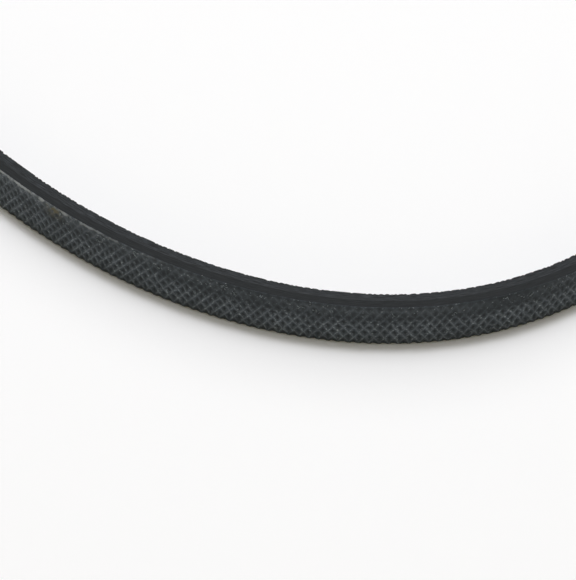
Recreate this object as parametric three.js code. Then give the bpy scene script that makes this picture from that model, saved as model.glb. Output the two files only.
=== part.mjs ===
// A serpentine belt: one endless moulded belt with V-ribs on its inner face and a flat back.
// It stands on one of its cut edges, in the slack oval that such a belt takes when nothing drives it.
// Millimetres, +Z up. The origin is the middle of the oval, at the height of the lower cut edge.
// The oval's long axis lies along X.
import * as THREE from "three";

// Loop
const effectiveLength = 800; // round the belt, measured on the tension cords
const loopAspect = 0.695; // the resting oval's short axis over its long axis
const stationCount = 96; // sections round the loop

// Section: the standard automotive rib profile
const ribCount = 3;
const ribPitch = 3.56;
const ribAngle = 40; // between a rib's two flanks, in degrees
const ribHeight = 2.7;
const valleyFloor = 0.45; // flat between two ribs, before its corners are rounded
const beltThickness = 4.5; // from the back to the rib tips
const cordDepth = 1.2; // from the back to the middle of the tension cords

// Rounding of the section's corners
const tipRadius = 0.3;
const valleyRadius = 0.25;
const backEdgeRadius = 0.25;
const roundingSteps = 2; // straight pieces in each rounded corner

const rubberColour = 0x2b2e30;
const rubberRoughness = 0.85;

const beltWidth = ribCount * ribPitch;
const flankRun = ribHeight * Math.tan(THREE.MathUtils.degToRad(ribAngle / 2));

// The long half-axis of an ellipse with this perimeter and aspect, by Ramanujan's formula.
function longHalfAxis(perimeter, aspect) {
  const h = ((1 - aspect) / (1 + aspect)) ** 2;
  return perimeter / (Math.PI * (1 + aspect) * (1 + (3 * h) / (10 + Math.sqrt(4 - 3 * h))));
}

// Points on the arc that rounds one corner. The arc takes at most half of each side it touches.
function roundedCorner(before, corner, after, radius) {
  const toBefore = before.clone().sub(corner);
  const toAfter = after.clone().sub(corner);
  const halfAngle = toBefore.angleTo(toAfter) / 2;
  const room = Math.min(toBefore.length(), toAfter.length()) / 2;
  const setback = Math.min(radius / Math.tan(halfAngle), room);
  toBefore.setLength(setback);
  toAfter.setLength(setback);
  const toCentre = toBefore.clone().add(toAfter).setLength(setback / Math.cos(halfAngle));
  const centre = corner.clone().add(toCentre);
  const start = corner.clone().add(toBefore).sub(centre);
  const end = corner.clone().add(toAfter).sub(centre);
  const turn = Math.atan2(start.cross(end), start.dot(end));
  const origin = new THREE.Vector2();
  return Array.from({ length: roundingSteps + 1 }, (_, step) =>
    start.clone().rotateAround(origin, (turn * step) / roundingSteps).add(centre),
  );
}

// The belt's section. x is the distance outward from the cords, y the height above the lower cut edge.
function beltSection() {
  const back = cordDepth;
  const valley = cordDepth - (beltThickness - ribHeight);
  const tip = cordDepth - beltThickness;
  const sharp = (x, y) => ({ at: new THREE.Vector2(x, y), radius: 0 });
  const round = (x, y, radius) => ({ at: new THREE.Vector2(x, y), radius });

  const corners = [round(back, 0, backEdgeRadius), round(back, beltWidth, backEdgeRadius)];
  // The belt is cut through the middle of a valley, so each cut edge ends in half a valley floor.
  for (let rib = ribCount - 1; rib >= 0; rib--) {
    const top = (rib + 1) * ribPitch;
    const bottom = rib * ribPitch;
    if (rib === ribCount - 1) corners.push(sharp(valley, top));
    corners.push(round(valley, top - valleyFloor / 2, valleyRadius));
    corners.push(round(tip, top - valleyFloor / 2 - flankRun, tipRadius));
    corners.push(round(tip, bottom + valleyFloor / 2 + flankRun, tipRadius));
    corners.push(round(valley, bottom + valleyFloor / 2, valleyRadius));
    if (rib === 0) corners.push(sharp(valley, bottom));
  }

  return corners.flatMap(({ at, radius }, i) => {
    if (!radius) return [at];
    const before = corners[(i + corners.length - 1) % corners.length].at;
    const after = corners[(i + 1) % corners.length].at;
    return roundedCorner(before, at, after, radius);
  });
}

// The section carried once round the oval, square to it, and closed on itself.
function endlessBelt() {
  const section = beltSection();
  const longAxis = longHalfAxis(effectiveLength, loopAspect);
  const shortAxis = longAxis * loopAspect;
  const positions = [];
  for (let station = 0; station < stationCount; station++) {
    const angle = (2 * Math.PI * station) / stationCount;
    const onCords = new THREE.Vector2(longAxis * Math.cos(angle), shortAxis * Math.sin(angle));
    const outward = new THREE.Vector2(shortAxis * Math.cos(angle), longAxis * Math.sin(angle)).normalize();
    for (const point of section) {
      const place = onCords.clone().addScaledVector(outward, point.x);
      positions.push(place.x, place.y, point.y);
    }
  }

  const indices = [];
  const size = section.length;
  for (let station = 0; station < stationCount; station++) {
    const next = (station + 1) % stationCount;
    for (let i = 0; i < size; i++) {
      const j = (i + 1) % size;
      const [a, b] = [station * size + i, station * size + j];
      const [c, d] = [next * size + i, next * size + j];
      indices.push(a, c, b, b, c, d);
    }
  }

  const geometry = new THREE.BufferGeometry();
  geometry.setAttribute("position", new THREE.Float32BufferAttribute(positions, 3));
  geometry.setIndex(indices);
  geometry.computeVertexNormals();
  return geometry;
}

const rubber = new THREE.MeshStandardMaterial({
  color: rubberColour,
  roughness: rubberRoughness,
  metalness: 0,
});

const belt = new THREE.Mesh(endlessBelt(), rubber);
belt.name = "belt";

const part = new THREE.Group();
part.add(belt);

export default part;
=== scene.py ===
# Serpentine belt, looks only: the ribbed drive belt of the frame, standing on its cut edge on a pale floor.
import math
import bmesh
import bpy
import numpy as np
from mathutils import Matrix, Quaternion, Vector


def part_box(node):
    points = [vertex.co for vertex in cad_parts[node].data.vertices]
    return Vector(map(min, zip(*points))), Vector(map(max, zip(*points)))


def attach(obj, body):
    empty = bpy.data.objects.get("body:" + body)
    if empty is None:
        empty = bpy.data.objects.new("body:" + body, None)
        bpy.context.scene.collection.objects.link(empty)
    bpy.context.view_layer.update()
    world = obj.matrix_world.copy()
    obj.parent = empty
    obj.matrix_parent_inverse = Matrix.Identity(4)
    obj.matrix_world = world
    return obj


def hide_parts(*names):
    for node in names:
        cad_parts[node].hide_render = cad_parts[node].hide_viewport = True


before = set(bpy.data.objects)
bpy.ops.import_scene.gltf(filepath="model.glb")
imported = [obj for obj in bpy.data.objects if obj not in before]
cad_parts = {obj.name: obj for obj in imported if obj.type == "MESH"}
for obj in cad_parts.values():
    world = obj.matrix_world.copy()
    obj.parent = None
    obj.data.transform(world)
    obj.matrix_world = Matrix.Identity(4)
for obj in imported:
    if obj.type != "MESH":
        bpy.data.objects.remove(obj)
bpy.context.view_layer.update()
mm = 0.001  # sizes below are in millimetres, and Blender works in metres
touch = 1e-4  # mm; places this close together are one place


# Small helpers

def hexColour(code):  # an sRGB hex colour as the linear values that the shader wants
    channels = [int(code[i:i + 2], 16) / 255 for i in (1, 3, 5)]
    linear = [c / 12.92 if c <= 0.04045 else ((c + 0.055) / 1.055) ** 2.4 for c in channels]
    return (*linear, 1.0)


def socketOf(sockets, key):  # by place, identifier or name
    if isinstance(key, int):
        return sockets[key]
    return next(s for s in sockets if key in (s.identifier, s.name))


def addNode(tree, kind, settings, values, links, gives=0):  # adds a node and returns the output it gives
    node = tree.nodes.new(kind)
    for name, value in settings.items():
        setattr(node, name, value)
    for key, value in values.items():
        socketOf(node.inputs, key).default_value = value
    for key, source in links.items():
        tree.links.new(source, socketOf(node.inputs, key))
    return socketOf(node.outputs, gives)


def smoothStep(low, high, x):
    x = np.clip((x - low) / (high - low), 0, 1)
    return x * x * (3 - 2 * x)


def loopNoise(along, across, size, seed):
    # Smooth noise of about unit strength, with features of this size in mm.
    # It joins up where the loop closes.
    waves = 28
    spread = (0.7, 1.4)  # waves in one size, from the longest to the shortest
    random = np.random.default_rng(seed)
    total = np.zeros(np.shape(along))
    for _ in range(waves):
        turn = random.uniform(0, math.pi)
        wave = random.uniform(*spread) / size
        rounds = round(wave * math.cos(turn) * loop["backLength"])
        phase = random.uniform(0, 2 * math.pi)
        swing = 2 * math.pi * (rounds * along / loop["backLength"] + wave * math.sin(turn) * across)
        total = total + np.cos(swing + phase)
    return total * math.sqrt(2 / waves)


# The loop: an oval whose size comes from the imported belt

profile = {
    "cordDepth": 1.2,  # back to tension cords
    "thickness": 4.5,  # back to rib tips
    "ribHeight": 2.7,
    "ribCount": 3,
    "ribAngle": 40,  # degrees between a rib's flanks
    "valleyFloor": 0.45,
    "tipRadius": 0.3,
    "valleyRadius": 0.25,
    "rimRadius": 0.17,  # where the back meets the cut faces
    "rimSteps": 2,
    "roundingSteps": 3,
    "sharpAngle": 60,  # degrees; edges that turn further than this stay crisp
}

low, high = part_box("belt")
beltWidth = (high.z - low.z) / mm
longAxis = (high.x - low.x) / 2 / mm - profile["cordDepth"]
shortAxis = (high.y - low.y) / 2 / mm - profile["cordDepth"]
loopMiddle = Vector(((low.x + high.x) / 2, (low.y + high.y) / 2, low.z))


def ovalPoint(turn, outward):  # a point at this distance outside the cords, in mm
    normal = np.array([shortAxis * np.cos(turn), longAxis * np.sin(turn)])
    normal = normal / np.hypot(*normal)
    return np.array([longAxis * np.cos(turn), shortAxis * np.sin(turn)]) + outward * normal


def measureLoop():  # the length round the back from the oval's -X end, and the turn of each length
    samples = 40001
    turns = np.linspace(-math.pi, math.pi, samples)
    steps = np.hypot(*np.diff(ovalPoint(turns, profile["cordDepth"]), axis=1))
    lengths = np.concatenate([[0], np.cumsum(steps)])
    return {"turns": turns, "lengths": lengths, "backLength": lengths[-1]}


loop = measureLoop()
nearEnd = loop["backLength"] / 2  # the oval's +X end, which the picture shows; places in it count from here
print(f"loop: {loop['backLength']:.1f} mm round the back, {beltWidth:.2f} mm wide")


def onLoop(along, outward, up):  # belt places to points in the row frame, in metres
    turn = np.interp(np.mod(along, loop["backLength"]), loop["lengths"], loop["turns"])
    x, y = ovalPoint(turn, outward)
    return np.stack([x, y, up], axis=1) * mm + np.array(loopMiddle)


# The belt's section, as one path round it: lower cut face, back, upper cut face, ribs

def roundedCorner(before, corner, after, radius, steps):
    before, corner, after = (np.array(p, float) for p in (before, corner, after))
    toBefore, toAfter = before - corner, after - corner
    lengths = np.hypot(*toBefore), np.hypot(*toAfter)
    toBefore, toAfter = toBefore / lengths[0], toAfter / lengths[1]
    half = math.acos(float(np.clip(toBefore @ toAfter, -1, 1))) / 2
    setback = min(radius / math.tan(half), min(lengths) / 2)
    middle = (toBefore + toAfter) / np.hypot(*(toBefore + toAfter))
    centre = corner + middle * setback / math.cos(half)
    start, end = corner + toBefore * setback - centre, corner + toAfter * setback - centre
    turn = math.atan2(start[0] * end[1] - start[1] * end[0], start @ end)
    points = []
    for angle in np.linspace(0, turn, steps + 1):
        c, s = math.cos(angle), math.sin(angle)
        points.append(tuple(centre + (c * start[0] - s * start[1], s * start[0] + c * start[1])))
    return points


def sectionPath():
    p = profile
    back = p["cordDepth"]
    valley = back - (p["thickness"] - p["ribHeight"])
    tip = back - p["thickness"]
    run = p["ribHeight"] * math.tan(math.radians(p["ribAngle"] / 2))
    pitch = beltWidth / p["ribCount"]
    half = p["valleyFloor"] / 2
    rim = p["rimRadius"]
    support = 0.12  # rows beside each edge keep the shading of the cut faces flat
    pitRoom = 0.3  # the row beside each rim stays clear of the pits that reach the rim
    firstTip = 2  # the upper rib's first tip, among the corners below
    flankRows = (0.5, 0.75, 0.9)  # rows down the flank to that tip, so that nicks in its edge stay short

    rimCorner = roundedCorner((valley, 0), (back, 0), (back, beltWidth), rim, p["rimSteps"])
    cutX = [valley, valley + support, (valley + back) / 2, back - rim - pitRoom]
    path = [(x, 0.0, "cut") for x in cutX]
    path += [(x, y, "back") for x, y in rimCorner]
    path += [(x, beltWidth - y, "back") for x, y in reversed(rimCorner)]
    path += [(x, beltWidth, "cut") for x in reversed(cutX)]

    # The belt is cut through the middle of a valley, so each cut face ends in half a valley floor.
    corners = [(valley, beltWidth, 0)]
    for rib in range(p["ribCount"] - 1, -1, -1):
        top, bottom = (rib + 1) * pitch, rib * pitch
        corners.append((valley, top - half, p["valleyRadius"]))
        corners.append((tip, top - half - run, p["tipRadius"]))
        corners.append((tip, bottom + half + run, p["tipRadius"]))
        corners.append((valley, bottom + half, p["valleyRadius"]))
    corners.append((valley, 0, 0))
    for i in range(1, len(corners) - 1):
        before, (x, y, radius), after = corners[i - 1][:2], corners[i], corners[i + 1][:2]
        rounded = roundedCorner(before, (x, y), after, radius, p["roundingSteps"])
        if i == firstTip:
            last = np.array(path[-1][:2])
            path += [(*(last + share * (np.array(rounded[0]) - last)), "rib") for share in flankRows]
        path += [(x, y, "rib") for x, y in rounded]
    return path


section = sectionPath()
sectionX = np.array([p[0] for p in section] + [section[0][0]])
sectionZ = np.array([p[1] for p in section] + [section[0][1]])
sectionT = np.concatenate([[0], np.cumsum(np.hypot(np.diff(sectionX), np.diff(sectionZ)))])
backRows = [i for i, p in enumerate(section) if p[2] == "back"]
lowerRimT, upperRimT = sectionT[backRows[0]], sectionT[backRows[-1]]
upperValleyT = sectionT[max(i for i, p in enumerate(section) if p[2] == "cut")]
flankRun = 3.0  # mm round the section, down the upper rib's first flank and just past it
firstTipT = upperValleyT + flankRun
rimRound = sectionT[backRows[2]] - profile["rimRadius"]  # turns a place round the section into a height
print(f"section: {len(section)} rows, {sectionT[-1]:.1f} mm round")


# The back's diamond lattice, which the mould's fabric left in the rubber

lattice = {
    "pitch": 1.913,  # diamond length along the belt
    "height": 2.785,  # diamond height across it
    "lean": -0.045,  # how far the pattern leans, as mm along for each mm up
    "crossing": (-43.1, 4.54),  # where two ridges cross: along from the near end, up from the lower rim
    "ridgeFoot": 0.7,  # width of a ridge at its foot
    "pitDepth": 0.2,
    "unevenPits": 0.3,  # share by which pits differ in depth
    "unevenLimit": 1.5,  # times that share, at most
    "rimDepth": 0.6,  # share of the depth that pits keep where they meet the cut faces
    "rimReach": 0.05,  # mm from the cut faces to the whole depth
    "waviness": 0.085,  # mm that the lines sway, over a diamond or so
    "swayAlong": 0.7,  # share of that along the belt
    "swayFrom": (0.1, 0.9),  # mm from the cut faces, where lines start to sway up and down and do so fully
    "drift": 0.12,  # mm that they drift, over several diamonds
}
noise = {  # size in mm and seed
    "ragged": (2.5, 11),
    "rough": (0.8, 12),
    "uneven": (1.7, 13),
    "sway": (2.2, 14),
    "nick": (0.75, 17),
    "drift": (15.0, 18),
}
backFinish, cutFinish, ribFinish = 0, 1, 2  # the order of the belt's materials
diamondCount = round(loop["backLength"] / lattice["pitch"])
diamondPitch = loop["backLength"] / diamondCount
ridgeSlopes = (
    1 / lattice["height"] - lattice["lean"] / diamondPitch,
    -1 / lattice["height"] - lattice["lean"] / diamondPitch,
)  # both ridge families, in pitches along for each mm up


def ridgePlace(family, along, up):  # whole numbers lie on the middle line of a ridge
    crossAlong, crossUp = lattice["crossing"]
    return (along - nearEnd - crossAlong) / diamondPitch + ridgeSlopes[family] * (up - crossUp)


def ridgeSpacing(family):  # square distance between neighbouring ridges, in mm
    return 1 / math.hypot(1 / diamondPitch, ridgeSlopes[family])


def ridgeHeight(along, up):  # 1 on a ridge's crest, 0 in a pit
    height = np.zeros(np.shape(along))
    for family in (0, 1):
        place = ridgePlace(family, along, up)
        distance = np.abs(place - np.round(place)) * ridgeSpacing(family)
        height = np.maximum(height, np.clip(1 - distance / (lattice["ridgeFoot"] / 2), 0, 1))
    return height


def cutAcross(bm, faces, point, normal):
    snap = 0.006  # mm; a point this close to the cut counts as on it, so that no slivers are made
    geometry = set(faces)
    for face in faces:
        geometry.update(face.edges)
        geometry.update(face.verts)
    bmesh.ops.bisect_plane(bm, geom=list(geometry), dist=snap, plane_co=point, plane_no=normal)


def diamondTile():
    # One pitch of the belt's skin laid flat: x along the belt, y round the section.
    # Each ridge's crest and feet are cut in as lines, so that the relief has clean edges.
    bm = bmesh.new()
    corners = [(0, 0), (diamondPitch, 0), (diamondPitch, sectionT[-1]), (0, sectionT[-1])]
    bm.faces.new([bm.verts.new((x, y, 0)) for x, y in corners])
    for t in sectionT[1:-1]:
        cutAcross(bm, list(bm.faces), (0, t, 0), (0, 1, 0))
    for face in bm.faces:
        t = face.calc_center_median().y
        onCut = t < lowerRimT or upperRimT < t < upperValleyT
        face.material_index = cutFinish if onCut else backFinish if t < upperRimT else ribFinish

    # The upper rib's edge takes nicks, so it is cut finer
    parts = 5
    edgeStart, edgeEnd = upperValleyT + 2, upperValleyT + 4
    for part in range(1, parts):
        edge = [f for f in bm.faces if edgeStart < f.calc_center_median().y < edgeEnd]
        cutAcross(bm, edge, (diamondPitch * part / parts, 0, 0), (1, 0, 0))

    for family in (0, 1):
        for side in (-1, 0, 1):
            shift = side * lattice["ridgeFoot"] / 2 / ridgeSpacing(family)
            ends = [ridgePlace(family, x, t - rimRound)
                    for x in (0, diamondPitch) for t in (lowerRimT, upperRimT)]
            for line in range(math.floor(min(ends)) - 1, math.ceil(max(ends)) + 2):
                start = (line + shift - ridgePlace(family, 0, 0)) * diamondPitch  # at the lower rim
                faces = [f for f in bm.faces if f.material_index == backFinish]
                cutAcross(bm, faces, (start, rimRound, 0), (1 / diamondPitch, ridgeSlopes[family], 0))
    bm.verts.index_update()
    tile = {
        "places": np.array([v.co[:2] for v in bm.verts]),
        "faces": [[v.index for v in f.verts] for f in bm.faces],
        "finishes": [f.material_index for f in bm.faces],
    }
    bm.free()
    return tile


def weldTiles(tile):  # copies of the tile all round the loop, sharing their border points
    places = tile["places"]
    onRight = np.abs(places[:, 0] - diamondPitch) < touch
    onEnd = np.abs(places[:, 1] - sectionT[-1]) < touch
    twin = np.arange(len(places))
    for i in np.flatnonzero(onRight | onEnd):
        x = 0 if onRight[i] else places[i, 0]
        t = 0 if onEnd[i] else places[i, 1]
        twin[i] = np.argmin(np.hypot(places[:, 0] - x, places[:, 1] - t))
    kept = np.flatnonzero(twin == np.arange(len(places)))
    number = np.full(len(places), -1)
    number[kept] = np.arange(len(kept))
    faces = []
    for copy in range(diamondCount):
        ids = ((copy + onRight) % diamondCount) * len(kept) + number[twin]
        faces += [ids[face].tolist() for face in tile["faces"]]
    corners = np.concatenate(tile["faces"])
    starts = np.arange(diamondCount)[:, None] * diamondPitch
    return {
        "faces": faces,
        "finishes": tile["finishes"] * diamondCount,
        "along": (starts + places[kept, 0]).ravel(),
        "around": np.tile(places[kept, 1], diamondCount),
        "cornerAlong": (starts + places[corners, 0]).ravel(),
        "cornerAround": np.tile(places[corners, 1], diamondCount),
    }


# Wear: the photo shows the pattern rubbed away towards the upper rim, and that rim frayed

wear = {
    "depth": 2.3,  # how far down from the upper rim the rubbing reaches, in mm
    "ragged": 0.45,
    "fade": (0.9, 0.6),  # mm over which the rubbing eases off, above and below there
    "deeperAt": {-46.0: 0.55, 2.0: 1.0},  # rubbed further down: along from the near end, how bare
    "deeperBy": 1.0,
    "deeperReach": 10.0,
    "flattened": 0.65,  # share of each ridge that is rubbed off
    "stubble": (0.3, 0.16),  # height and roughness left between the ridges, as shares of the pits' depth
    "frayedAt": -103.0,  # where the rim's pale line is unbroken, along from the near end
    "frayedReach": 24.0,
    "dustAt": (-90.0, 9.6),  # a smear of dust: along from the near end, up from the lower rim
    "dustReach": 1.5,
    "nickDepth": 0.19,  # nicks in the upper rib's edge
    "nickedEdge": (0.15, 0.6),  # mm from the edge's middle with whole nicks, and over which they end
    "nickStretch": 0.4,  # below 1 the nicks are drawn out across the edge
    "nickFrom": 0.1,  # noise level at which a nick starts
    "edgeProud": 0.4,  # how far the edge stands out between nicks, as a share of their depth
    "nickDark": (0.4, 1.0),  # share of its depth where a nick starts to look dark and is fully so
}


def buildBelt():
    skin = weldTiles(diamondTile())
    along, around = skin["along"], skin["around"]
    outward = np.interp(around, sectionT, sectionX)
    up = np.interp(around, sectionT, sectionZ)
    onBack = (around > lowerRimT - touch) & (around < upperRimT + touch)
    height = around - rimRound  # up the back, following its rounded rims

    # The lattice in relief, softer where it is rubbed
    rough = loopNoise(along, height, *noise["rough"])
    bare = sum(share * np.exp(-((along - nearEnd - middle) / wear["deeperReach"]) ** 2)
               for middle, share in wear["deeperAt"].items())
    ragged = wear["ragged"] * loopNoise(along, height, *noise["ragged"])
    edge = wear["depth"] + ragged + wear["deeperBy"] * bare
    fadeAbove, fadeBelow = wear["fade"]
    worn = onBack * (1 - smoothStep(edge - fadeAbove, edge + fadeBelow, beltWidth - height))
    toCut = np.minimum(up, beltWidth - up)
    limit = lattice["unevenLimit"]
    uneven = np.clip(loopNoise(along, height, *noise["uneven"]), -limit, limit)
    depth = lattice["pitDepth"] * (1 + lattice["unevenPits"] * uneven)
    rimDepth = lattice["rimDepth"]
    depth = depth * (rimDepth + (1 - rimDepth) * smoothStep(0, lattice["rimReach"], toCut))
    stubble, stubbleRough = wear["stubble"]
    crest = ridgeHeight(along, height) * (1 - wear["flattened"] * worn)
    crest = crest + worn * (stubble + stubbleRough * rough)
    outward = outward - onBack * depth * (1 - np.clip(crest, 0, 1))

    # Nicks along the upper rib's edge
    whole, ending = wear["nickedEdge"]
    tip = smoothStep(ending, 0.0, np.abs(around - firstTipT) - whole)
    nick = loopNoise(along, around * wear["nickStretch"], *noise["nick"])
    nick = tip * np.clip(nick - wear["nickFrom"], 0, 1)
    outward = outward + wear["nickDepth"] * (nick - wear["edgeProud"] * tip)

    # Nothing in the lattice is quite straight
    inside = smoothStep(*lattice["swayFrom"], toCut) * onBack
    sway = lattice["waviness"] * loopNoise(along, height, *noise["sway"])
    drift = lattice["drift"] * loopNoise(along, height, *noise["drift"])
    shifted = along + onBack * (drift + lattice["swayAlong"] * sway)
    points = onLoop(shifted, outward, up + inside * (sway + drift))

    mesh = bpy.data.meshes.new("ribbedBelt")
    mesh.from_pydata(points.tolist(), [], skin["faces"])
    mesh.polygons.foreach_set("material_index", skin["finishes"])
    mesh.shade_smooth()
    mesh.set_sharp_from_angle(angle=math.radians(profile["sharpAngle"]))
    frayed = np.exp(-((along - nearEnd - wear["frayedAt"]) / wear["frayedReach"]) ** 2)
    dustAlong, dustUp = wear["dustAt"]
    dust = np.exp(-(np.hypot(along - nearEnd - dustAlong, height - dustUp) / wear["dustReach"]) ** 2)
    nickMask = smoothStep(*wear["nickDark"], nick)
    masks = {"worn": worn, "frayed": frayed, "bare": bare, "dust": dust * onBack, "nick": nickMask}
    for name, values in masks.items():
        mesh.attributes.new(name, "FLOAT", "POINT").data.foreach_set("value", values.astype(np.float32))
    for name in ("cornerAlong", "cornerAround"):
        mesh.attributes.new(name, "FLOAT", "CORNER").data.foreach_set("value", skin[name].astype(np.float32))
    belt = bpy.data.objects.new("ribbedBelt", mesh)
    bpy.context.collection.objects.link(belt)
    triangles = sum(len(face) - 2 for face in skin["faces"])
    print(f"belt: {diamondCount} diamonds round it, {triangles} triangles")
    return belt


# Loose fibres at the upper rim

fray = {
    "thickness": 0.09,
    "length": (0.35, 1.0),
    "bends": 6,
    "sides": 5,
    "curl": 80,  # degrees turned at each bend, at most
    "lift": 0.06,  # how far each bend may stand off the rubber
    "rise": (-0.3, 1.0),  # the range of that, as shares
    "sunk": 0.04,  # how deep a root sits in the rubber
    "scatter": (0.2, 0.15),  # how far a tuft's roots stray along and up
    "seed": 7,
    "perTuft": 3,
    "strays": 80,
    "strayUp": (8.0, 9.6),
    "tufts": [  # where the photo shows them: along from the near end, up from the lower rim
        (-101.7, 8.9), (-88.4, 9.7), (-79.3, 8.4), (-78.1, 9.4), (-71.2, 9.9), (-65.8, 8.5),
        (-57.4, 8.4), (-53.0, 9.6), (-51.1, 8.7), (-46.0, 9.5), (-38.2, 8.9), (-35.2, 8.6),
        (-32.5, 8.9), (-20.5, 8.4), (-9.0, 8.3), (1.1, 9.7), (6.6, 8.9), (7.7, 6.2),
    ],
}


def fibreTube(points, radius, sides):  # a closed tube along these points
    points = np.array(points)
    ways = np.gradient(points, axis=0)
    ways /= np.linalg.norm(ways, axis=1, keepdims=True)
    anyWay = (0.31, 0.22, 0.92)  # a slanting direction that no fibre happens to run in
    across = np.cross(ways, anyWay)
    across /= np.linalg.norm(across, axis=1, keepdims=True)
    over = np.cross(ways, across)
    angles = np.arange(sides) * 2 * math.pi / sides
    rings = [p + radius * (math.cos(a) * c + math.sin(a) * o)
             for p, c, o in zip(points, across, over) for a in angles]
    faces = [list(range(sides))[::-1], list(range(len(rings) - sides, len(rings)))]
    for ring in range(len(points) - 1):
        for side in range(sides):
            a, b = ring * sides + side, ring * sides + (side + 1) % sides
            faces.append([a, b, b + sides, a + sides])
    return rings, faces


def buildFibres():
    f = fray
    random = np.random.default_rng(f["seed"])
    deepest = profile["cordDepth"] - f["sunk"]
    aside, above = f["scatter"]
    roots = [(nearEnd + a + random.normal(0, aside), u + random.normal(0, above))
             for a, u in f["tufts"] for _ in range(f["perTuft"])]
    roots += [(random.uniform(0, loop["backLength"]), random.uniform(*f["strayUp"]))
              for _ in range(f["strays"])]
    vertices, faces = [], []
    for rootAlong, rootUp in roots:
        step = random.uniform(*f["length"]) / f["bends"]
        way = random.uniform(0, 2 * math.pi)
        place = np.array([rootAlong, deepest, rootUp])
        path = [place]
        for _ in range(f["bends"]):
            way += math.radians(random.uniform(-f["curl"], f["curl"]))
            rise = random.uniform(*f["rise"]) * f["lift"]
            place = place + (step * math.cos(way), rise, step * math.sin(way))
            place[1] = max(place[1], deepest)
            path.append(place)
        path = np.array(path)
        points = onLoop(path[:, 0], path[:, 1], path[:, 2])
        rings, sides = fibreTube(points, f["thickness"] / 2 * mm, f["sides"])
        faces += [[len(vertices) + i for i in face] for face in sides]
        vertices += [tuple(p) for p in rings]
    mesh = bpy.data.meshes.new("frayedFibres")
    mesh.from_pydata(vertices, [], faces)
    mesh.shade_smooth()
    fibres = bpy.data.objects.new("frayedFibres", mesh)
    bpy.context.collection.objects.link(fibres)
    print(f"fibres: {len(roots)}")
    return fibres


# Materials

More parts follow.
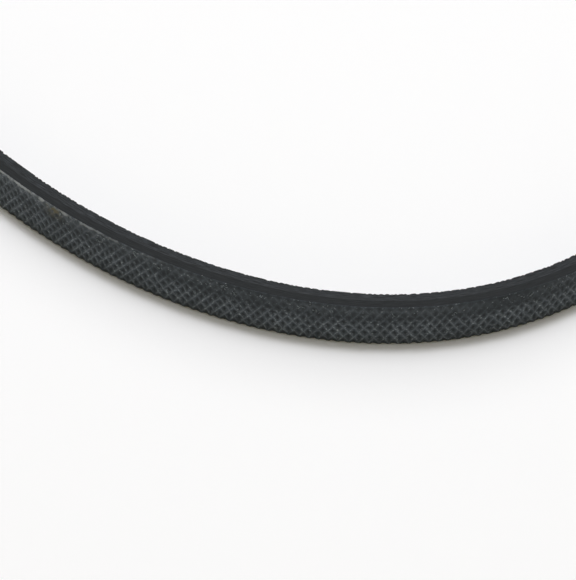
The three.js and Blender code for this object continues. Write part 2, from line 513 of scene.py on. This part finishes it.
def fabricMouldedRubber():
    # Synthetic rubber filled with carbon black, cured against a coarse woven fabric. Its diamond ridges have
    # been rubbed to a soft grey by idler pulleys, and the pits between them are matt black, with painted
    # shade leaving their middles darkest. Towards the upper rim the rubbing has blurred the pattern into
    # short greyish flecks.
    finish = {
        # painted shade: the pits' middles keep this darkest colour while their edges are greyed
        "shadedPitColour": "#292e34",
        "ridgeColour": "#697179",
        "fleckColour": "#999fa3",
        # pale frayed fibres and a painted highlight along the upper rim
        "frayedColour": "#9b9fa1",
        "dustColour": "#605c4b",
        "rubbedWidth": (0.05, 0.26),  # mm from a ridge's middle, where its bright line fades and ends
        "rubbedShare": 0.6,  # how much of the ridge's colour that line gives
        "slopeWidth": (0.28, 0.66),  # the same for the greyer slope beside it; past it the pit's middle stays dark as painted shade
        "slopeShare": 0.4,
        "grit": 0.16,  # mm, the texture of the moulded skin
        "fleck": 0.34,  # mm, bright rubbed spots
        "smear": 0.55,  # mm, rubbed-over pattern
        "patch": 5.0,  # mm, stretches that one ridge family is rubbed more on
        "wobble": 0.05,  # pitches that the rubbed line strays from the ridge
        "wobbleLength": 1.1,  # mm
        "raggedBy": 0.9,  # mm that the edges of the bands below move up and down
        "floorShadeBand": (0.3, 1.7),  # mm up from the lower rim, where the painted shade near the floor starts to thin and ends
        "floorShadeShare": 0.6,  # how much of the pattern shows through that painted shade
        "darkBand": (5.2, 7.6),  # mm up, where the darker band starts and is full
        "rimBand": (1.6, 0.4),  # mm below the upper rim, between which the rubbing thins unless frayed
        "frayedRimHighlight": 0.58,  # mm, width of the frayed line at the upper rim: pale fibres with a painted highlight along the rounded rim
        "frayedRimHighlightEdge": (1.6, 0.6),  # where that line starts and is full, times its width
        "cutFade": 0.25,  # mm beside the cut face, over which it dies down
    }
    material = bpy.data.materials.new("fabricMouldedRubber")
    material.use_nodes = True
    tree = material.node_tree
    shader = tree.nodes["Principled BSDF"]
    shader.inputs["IOR"].default_value = 1.5
    shader.inputs["Specular IOR Level"].default_value = 0.3

    along, around, worn, frayed, bare, dust = (
        addNode(tree, "ShaderNodeAttribute", {"attribute_name": name}, {}, {}, "Fac")
        for name in ("cornerAlong", "cornerAround", "worn", "frayed", "bare", "dust"))
    place = addNode(tree, "ShaderNodeTexCoord", {}, {}, {}, "Object")
    grit, fleck, smear, wobble = (
        addNode(tree, "ShaderNodeTexNoise", {"noise_dimensions": "4D"},
                {"Scale": 1 / (size * mm), "Detail": detail, "W": w}, {"Vector": place})
        for size, detail, w in ((finish["grit"], 2.0, 0.0), (finish["fleck"], 1.0, 3.0),
                                (finish["smear"], 2.0, 5.0), (finish["wobbleLength"], 1.0, 9.0)))
    aside = finish["wobble"]
    stray = addNode(tree, "ShaderNodeMapRange", {},
                    {"From Min": 0.25, "From Max": 0.75, "To Min": -aside, "To Max": aside},
                    {"Value": wobble})

    # Each ridge family as a soft line, rubbed more in some places than in others; between the lines the pits
    # keep their painted shade
    lines = []
    for family in (0, 1):
        offset = ridgePlace(family, 0, -rimRound)
        climb = addNode(tree, "ShaderNodeMath", {"operation": "MULTIPLY_ADD"},
                        {1: ridgeSlopes[family], 2: offset}, {0: around})
        run = addNode(tree, "ShaderNodeMath", {"operation": "MULTIPLY_ADD"},
                      {1: 1 / diamondPitch}, {0: along, 2: climb})
        bent = addNode(tree, "ShaderNodeMath", {"operation": "ADD"}, {}, {0: run, 1: stray})
        distance = addNode(tree, "ShaderNodeMath", {"operation": "PINGPONG"}, {1: 0.5}, {0: bent})
        spacing = ridgeSpacing(family)
        core, shoulder = (
            addNode(tree, "ShaderNodeMapRange", {"interpolation_type": "SMOOTHSTEP"},
                    {"From Min": inner / spacing, "From Max": outer / spacing, "To Min": top, "To Max": 0.0},
                    {"Value": distance})
            for (inner, outer), top in ((finish["rubbedWidth"], finish["rubbedShare"]),
                                        (finish["slopeWidth"], finish["slopeShare"])))
        shape = addNode(tree, "ShaderNodeMath", {"operation": "ADD"}, {}, {0: core, 1: shoulder})
        patch = addNode(tree, "ShaderNodeTexNoise", {"noise_dimensions": "4D"},
                        {"Scale": 1 / (finish["patch"] * mm), "Detail": 2.0, "W": 20.0 + 7 * family},
                        {"Vector": place})
        rubbed = addNode(tree, "ShaderNodeMapRange", {},
                         {"From Min": 0.32, "From Max": 0.62, "To Min": 0.5}, {"Value": patch})
        lines.append(addNode(tree, "ShaderNodeMath", {"operation": "MULTIPLY"}, {}, {0: shape, 1: rubbed}))
    ridge = addNode(tree, "ShaderNodeMath", {"operation": "MAXIMUM"}, {}, {0: lines[0], 1: lines[1]})

    # The lowest stretch is darkened by painted shade near the floor, and below the rubbed rim lies a darker
    # band
    ragged = addNode(tree, "ShaderNodeMapRange", {"clamp": False},
                     {"To Min": -finish["raggedBy"], "To Max": finish["raggedBy"]}, {"Value": smear})
    level = addNode(tree, "ShaderNodeMath", {"operation": "ADD"}, {}, {0: around, 1: ragged})
    # painted shade: the pattern dims towards the lower rim, where the floor shades it
    shadeFrom, shadeTo = finish["floorShadeBand"]
    fromBelow = addNode(tree, "ShaderNodeMapRange", {"interpolation_type": "SMOOTHSTEP"},
                        {"From Min": rimRound + shadeFrom, "From Max": rimRound + shadeTo,
                         "To Min": finish["floorShadeShare"]}, {"Value": level})

    # Little of the pattern is left in that band, most of it where the rim is frayed, least where it is bare
    patterned = addNode(tree, "ShaderNodeMapRange", {}, {"To Min": 1.0, "To Max": 0.3}, {"Value": bare})
    leftOver = addNode(tree, "ShaderNodeMapRange", {}, {"To Min": 0.4, "To Max": 0.62}, {"Value": frayed})
    leftOver = addNode(tree, "ShaderNodeMath", {"operation": "MULTIPLY"}, {}, {0: leftOver, 1: patterned})
    darkFrom, darkTo = finish["darkBand"]
    fromAbove = addNode(tree, "ShaderNodeMapRange", {"interpolation_type": "SMOOTHSTEP"},
                        {"From Min": rimRound + darkFrom, "From Max": rimRound + darkTo, "To Min": 1.0},
                        {"Value": level, "To Max": leftOver})
    grain = addNode(tree, "ShaderNodeMapRange", {},
                    {"From Min": 0.3, "From Max": 0.7, "To Min": 0.55, "To Max": 1.2}, {"Value": fleck})
    ridge = addNode(tree, "ShaderNodeMath", {"operation": "MULTIPLY"}, {}, {0: ridge, 1: fromBelow})
    ridge = addNode(tree, "ShaderNodeMath", {"operation": "MULTIPLY"}, {}, {0: ridge, 1: fromAbove})
    ridge = addNode(tree, "ShaderNodeMath", {"operation": "MULTIPLY"}, {}, {0: ridge, 1: grain})

    # Where it is worn, blurred flecks take the pattern's place
    strength = addNode(tree, "ShaderNodeMapRange", {}, {"To Min": 0.17, "To Max": 0.38}, {"Value": frayed})
    blurred = addNode(tree, "ShaderNodeMapRange", {}, {"From Min": 0.36, "From Max": 0.66, "To Min": 0.15},
                      {"Value": smear, "To Max": strength})
    blurred = addNode(tree, "ShaderNodeMath", {"operation": "MULTIPLY"}, {}, {0: blurred, 1: worn})
    blurred = addNode(tree, "ShaderNodeMath", {"operation": "MULTIPLY"}, {}, {0: blurred, 1: patterned})
    rimShare = addNode(tree, "ShaderNodeMapRange", {}, {"To Min": 0.6, "To Max": 1.1}, {"Value": frayed})
    plainFrom, plainTo = finish["rimBand"]
    plainRim = addNode(tree, "ShaderNodeMapRange", {"interpolation_type": "SMOOTHSTEP"},
                       {"From Min": upperRimT - plainFrom, "From Max": upperRimT - plainTo, "To Min": 1.0},
                       {"Value": around, "To Max": rimShare})
    rub = addNode(tree, "ShaderNodeMath", {"operation": "ADD"}, {}, {0: ridge, 1: blurred})
    rub = addNode(tree, "ShaderNodeMath", {"operation": "MULTIPLY", "use_clamp": True}, {},
                  {0: rub, 1: plainRim})
    # painted shade: where rub is low, in the pits' middles, the darkest colour stays
    colour = addNode(tree, "ShaderNodeMix", {"data_type": "RGBA"},
                     {"A_Color": hexColour(finish["shadedPitColour"]), "B_Color": hexColour(finish["ridgeColour"])},
                     {"Factor_Float": rub}, "Result_Color")

    # Bright rubbed spots, tufts in the worn stretch, the frayed line at the rim with its painted highlight,
    # and the smear of dust
    spot = addNode(tree, "ShaderNodeMapRange", {}, {"From Min": 0.62, "From Max": 0.72}, {"Value": fleck})
    spot = addNode(tree, "ShaderNodeMath", {"operation": "MULTIPLY"}, {}, {0: spot, 1: rub})
    tuft = addNode(tree, "ShaderNodeMapRange", {}, {"From Min": 0.69, "From Max": 0.76}, {"Value": fleck})
    tuft = addNode(tree, "ShaderNodeMath", {"operation": "MULTIPLY"}, {}, {0: tuft, 1: worn})
    spot = addNode(tree, "ShaderNodeMath", {"operation": "MAXIMUM"}, {}, {0: spot, 1: tuft})
    # painted highlight: a pale line along the upper rim where it is frayed, partly the fibres' own colour
    glowFrom, glowTo = (upperRimT - finish["frayedRimHighlight"] * share for share in finish["frayedRimHighlightEdge"])
    rim = addNode(tree, "ShaderNodeMapRange", {"interpolation_type": "SMOOTHSTEP"},
                  {"From Min": glowFrom, "From Max": glowTo}, {"Value": around})
    atCut = addNode(tree, "ShaderNodeMapRange", {"interpolation_type": "SMOOTHSTEP"},
                    {"From Min": upperRimT - finish["cutFade"], "From Max": upperRimT,
                     "To Min": 1.0, "To Max": 0.3}, {"Value": around})
    rim = addNode(tree, "ShaderNodeMath", {"operation": "MULTIPLY"}, {}, {0: rim, 1: atCut})
    rim = addNode(tree, "ShaderNodeMath", {"operation": "MULTIPLY"}, {}, {0: rim, 1: frayed})
    gaps = addNode(tree, "ShaderNodeMapRange", {}, {"To Min": -1.1, "To Max": 0.5}, {"Value": frayed})
    broken = addNode(tree, "ShaderNodeMapRange", {}, {"From Min": 0.4, "From Max": 0.58, "To Max": 1.35},
                     {"Value": wobble, "To Min": gaps})
    rim, dusty = (
        addNode(tree, "ShaderNodeMath", {"operation": "MULTIPLY", "use_clamp": True}, {},
                {0: mask, 1: broken})
        for mask in (rim, dust))
    for mask, name in ((spot, "fleckColour"), (rim, "frayedColour"), (dusty, "dustColour")):
        colour = addNode(tree, "ShaderNodeMix", {"data_type": "RGBA"}, {"B_Color": hexColour(finish[name])},
                         {"Factor_Float": mask, "A_Color": colour}, "Result_Color")
    roughness = addNode(tree, "ShaderNodeMapRange", {}, {"To Min": 0.9, "To Max": 0.68}, {"Value": rub})
    bump = addNode(tree, "ShaderNodeBump", {}, {"Strength": 0.5, "Distance": 0.03 * mm},
                   {"Height": grit}, "Normal")
    for name, source in (("Base Color", colour), ("Roughness", roughness), ("Normal", bump)):
        tree.links.new(source, shader.inputs[name])
    return material


def knifeCutRubber():
    # The same rubber where a knife parted the belt from its sleeve: an even matt charcoal, with faint
    # drag marks along the cut.
    finish = {
        "cutColour": "#181b20",
        "dragColour": "#2a2d31",
        "dragWidth": 0.16,  # mm
        "dragLength": 3.0,
    }
    material = bpy.data.materials.new("knifeCutRubber")
    material.use_nodes = True
    tree = material.node_tree
    shader = tree.nodes["Principled BSDF"]
    shader.inputs["IOR"].default_value = 1.5
    shader.inputs["Specular IOR Level"].default_value = 0.2
    shader.inputs["Roughness"].default_value = 0.8

    along, around = (addNode(tree, "ShaderNodeAttribute", {"attribute_name": name}, {}, {}, "Fac")
                     for name in ("cornerAlong", "cornerAround"))
    drawn = addNode(tree, "ShaderNodeMath", {"operation": "DIVIDE"}, {1: finish["dragLength"]}, {0: along})
    across = addNode(tree, "ShaderNodeMath", {"operation": "DIVIDE"}, {1: finish["dragWidth"]}, {0: around})
    place = addNode(tree, "ShaderNodeCombineXYZ", {}, {}, {"X": drawn, "Y": across})
    drag = addNode(tree, "ShaderNodeTexNoise", {}, {"Scale": 1.0, "Detail": 2.0}, {"Vector": place})
    mark = addNode(tree, "ShaderNodeMapRange", {}, {"From Min": 0.4, "From Max": 0.75}, {"Value": drag})
    colour = addNode(tree, "ShaderNodeMix", {"data_type": "RGBA"},
                     {"A_Color": hexColour(finish["cutColour"]), "B_Color": hexColour(finish["dragColour"])},
                     {"Factor_Float": mark}, "Result_Color")
    bump = addNode(tree, "ShaderNodeBump", {}, {"Strength": 0.3, "Distance": 0.02 * mm},
                   {"Height": drag}, "Normal")
    for name, source in (("Base Color", colour), ("Normal", bump)):
        tree.links.new(source, shader.inputs[name])
    return material


def groundRibRubber():
    # The ribs are ground to shape with stone wheels, which lays the rubber's short fibres open. That gives
    # a paler, even grey with fine streaks along the belt, and dark nicks where a rib's edge has crumbled.
    finish = {
        "groundColour": "#1c1e23",
        "streakColour": "#404449",
        "nickColour": "#141617",
        "streakWidth": 0.13,  # mm
        "streakLength": 2.4,
    }
    material = bpy.data.materials.new("groundRibRubber")
    material.use_nodes = True
    tree = material.node_tree
    shader = tree.nodes["Principled BSDF"]
    shader.inputs["IOR"].default_value = 1.5
    shader.inputs["Specular IOR Level"].default_value = 0.15
    shader.inputs["Roughness"].default_value = 0.8

    along, around, nick = (addNode(tree, "ShaderNodeAttribute", {"attribute_name": name}, {}, {}, "Fac")
                           for name in ("cornerAlong", "cornerAround", "nick"))
    drawn = addNode(tree, "ShaderNodeMath", {"operation": "DIVIDE"}, {1: finish["streakLength"]}, {0: along})
    across = addNode(tree, "ShaderNodeMath", {"operation": "DIVIDE"}, {1: finish["streakWidth"]}, {0: around})
    place = addNode(tree, "ShaderNodeCombineXYZ", {}, {}, {"X": drawn, "Y": across})
    streaks = addNode(tree, "ShaderNodeTexNoise", {}, {"Scale": 1.0, "Detail": 3.0}, {"Vector": place})
    streak = addNode(tree, "ShaderNodeMapRange", {}, {"From Min": 0.42, "From Max": 0.68}, {"Value": streaks})
    colour = addNode(tree, "ShaderNodeMix", {"data_type": "RGBA"},
                     {"A_Color": hexColour(finish["groundColour"]),
                      "B_Color": hexColour(finish["streakColour"])},
                     {"Factor_Float": streak}, "Result_Color")
    colour = addNode(tree, "ShaderNodeMix", {"data_type": "RGBA"},
                     {"B_Color": hexColour(finish["nickColour"])},
                     {"Factor_Float": nick, "A_Color": colour}, "Result_Color")
    bump = addNode(tree, "ShaderNodeBump", {}, {"Strength": 0.4, "Distance": 0.02 * mm},
                   {"Height": streaks}, "Normal")
    for name, source in (("Base Color", colour), ("Normal", bump)):
        tree.links.new(source, shader.inputs[name])
    return material


def polyesterFibre():
    # Chopped polyester from the fabric and the cords: pale, dull threads greyed by rubber dust.
    finish = {
        "cleanColour": "#8f99a0",
        "greyedColour": "#5b656b",
        "greying": 0.3,  # mm, size of the dusty patches
    }
    material = bpy.data.materials.new("polyesterFibre")
    material.use_nodes = True
    tree = material.node_tree
    shader = tree.nodes["Principled BSDF"]
    shader.inputs["IOR"].default_value = 1.57
    shader.inputs["Roughness"].default_value = 0.6
    place = addNode(tree, "ShaderNodeTexCoord", {}, {}, {}, "Object")
    greying = addNode(tree, "ShaderNodeTexNoise", {}, {"Scale": 1 / (finish["greying"] * mm)},
                      {"Vector": place})
    share = addNode(tree, "ShaderNodeMapRange", {}, {"From Min": 0.35, "From Max": 0.65}, {"Value": greying})
    colour = addNode(tree, "ShaderNodeMix", {"data_type": "RGBA"},
                     {"A_Color": hexColour(finish["cleanColour"]),
                      "B_Color": hexColour(finish["greyedColour"])},
                     {"Factor_Float": share}, "Result_Color")
    tree.links.new(colour, shader.inputs["Base Color"])
    return material


belt = buildBelt()
for finish in (fabricMouldedRubber(), knifeCutRubber(), groundRibRubber()):  # back, cut faces, ribs
    belt.data.materials.append(finish)
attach(belt, "root")
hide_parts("belt")

fibres = buildFibres()
fibres.data.materials.append(polyesterFibre())
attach(fibres, "root")


# Floor, light and camera

studio = {
    "floorSize": 12000,
    "floorDrop": 0.02,  # keeps the floor just clear of the belt's lower face
    "floorColour": "#f2f2f0",  # as it lights the belt
    "floorSeen": "#ffffff",  # as the camera sees it
    "skyColour": "#fff6c8",
    "skyStrength": 0.13,
    "lamps": {  # lean is in degrees from straight up, away from the camera
        "overheadLamp": {"power": 10.5, "size": 280, "distance": 1800, "lean": 10, "colour": "#f8f9ff"},
        "overheadSoftbox": {"power": 14.3, "size": 1000, "distance": 1800, "lean": 9, "colour": "#f8f9ff"},
        "farSoftbox": {"power": 10.4, "size": 1500, "distance": 2100, "lean": 42, "colour": "#f8f9ff"},
        "frontFill": {"power": 3.4, "size": 800, "distance": 2000, "lean": -70, "colour": "#fff4e6"},
    },
}

camera = {
    "azimuth": 68.07,  # degrees round the object
    "elevation": 50.28,
    "roll": 4.53,
    "aim": (129.4, -34.7, 0.0),  # mm, the point at the middle of the picture
    "distance": 761.2,
    "focalPixels": 4000,
    "longSide": 580,  # pixels on the picture's long side
    "sensor": 36.0,
    "clip": (0.01, 100),  # metres
}
turn = math.radians(camera["azimuth"])
towardsCamera = Vector((math.sin(turn), -math.cos(turn), 0))  # level


def paintedBoard():
    # Painted board: smooth, matt and white, so that the belt's shadow stays soft and even.
    material = bpy.data.materials.new("mattWhiteBoard")
    material.use_nodes = True
    tree = material.node_tree
    shader = tree.nodes["Principled BSDF"]
    shader.inputs["Roughness"].default_value = 0.9
    shader.inputs["Specular IOR Level"].default_value = 0.0
    seen = seenDirectly(tree)
    colour = addNode(tree, "ShaderNodeMix", {"data_type": "RGBA"},
                     {"A_Color": hexColour(studio["floorColour"]), "B_Color": hexColour(studio["floorSeen"])},
                     {"Factor_Float": seen}, "Result_Color")
    tree.links.new(colour, shader.inputs["Base Color"])
    return material


def seenDirectly(tree):  # 1 for rays from the camera, also by way of a gloss or glass
    direct, glossy, through = (addNode(tree, "ShaderNodeLightPath", {}, {}, {}, name)
                               for name in ("Is Camera Ray", "Is Glossy Ray", "Is Transmission Ray"))
    either = addNode(tree, "ShaderNodeMath", {"operation": "MAXIMUM"}, {}, {0: direct, 1: glossy})
    return addNode(tree, "ShaderNodeMath", {"operation": "MAXIMUM"}, {}, {0: either, 1: through})


def layFloor():
    half = studio["floorSize"] / 2 * mm
    drop = -studio["floorDrop"] * mm
    corners = [(-half, -half, drop), (half, -half, drop), (half, half, drop), (-half, half, drop)]
    mesh = bpy.data.meshes.new("tableTop")
    mesh.from_pydata(corners, [], [(0, 1, 2, 3)])
    mesh.materials.append(paintedBoard())
    floor = bpy.data.objects.new("tableTop", mesh)
    bpy.context.collection.objects.link(floor)


def hangLamps():
    aim = Vector(camera["aim"]) * mm
    for name, lamp in studio["lamps"].items():
        lean = math.radians(lamp["lean"])
        way = Vector((0, 0, math.cos(lean))) - towardsCamera * math.sin(lean)
        light = bpy.data.lights.new(name, "AREA")
        light.shape = "SQUARE"
        light.size = lamp["size"] * mm
        light.energy = lamp["power"]
        light.color = hexColour(lamp["colour"])[:3]
        hung = bpy.data.objects.new(name, light)
        hung.location = aim + way * lamp["distance"] * mm
        hung.rotation_mode = "QUATERNION"
        hung.rotation_quaternion = (-way).to_track_quat("-Z", "Y")
        hung.visible_camera = False
        bpy.context.collection.objects.link(hung)


def setSky():
    world = bpy.data.worlds.new("paleStudio")
    world.use_nodes = True
    tree = world.node_tree
    background = tree.nodes["Background"]
    background.inputs["Color"].default_value = hexColour(studio["skyColour"])
    strength = addNode(tree, "ShaderNodeMapRange", {}, {"To Min": studio["skyStrength"], "To Max": 1.0},
                       {"Value": seenDirectly(tree)})
    tree.links.new(strength, background.inputs["Strength"])
    bpy.context.scene.world = world


def placeCamera():
    c = camera
    tilt = math.radians(c["elevation"])
    back = towardsCamera * math.cos(tilt) + Vector((0, 0, math.sin(tilt)))
    data = bpy.data.cameras.new("photoView")
    data.sensor_width = c["sensor"]
    data.lens = c["sensor"] * c["focalPixels"] / c["longSide"]
    data.clip_start, data.clip_end = c["clip"]
    view = bpy.data.objects.new("photoView", data)
    view.location = (Vector(c["aim"]) + back * c["distance"]) * mm
    view.rotation_mode = "QUATERNION"
    level = (-back).to_track_quat("-Z", "Y")
    view.rotation_quaternion = level @ Quaternion((0, 0, 1), math.radians(c["roll"]))
    bpy.context.collection.objects.link(view)
    bpy.context.scene.camera = view


layFloor()
hangLamps()
setSky()
placeCamera()
bpy.context.scene.view_settings.view_transform = "Standard"
print("studio: floor, lamps, sky and camera set")
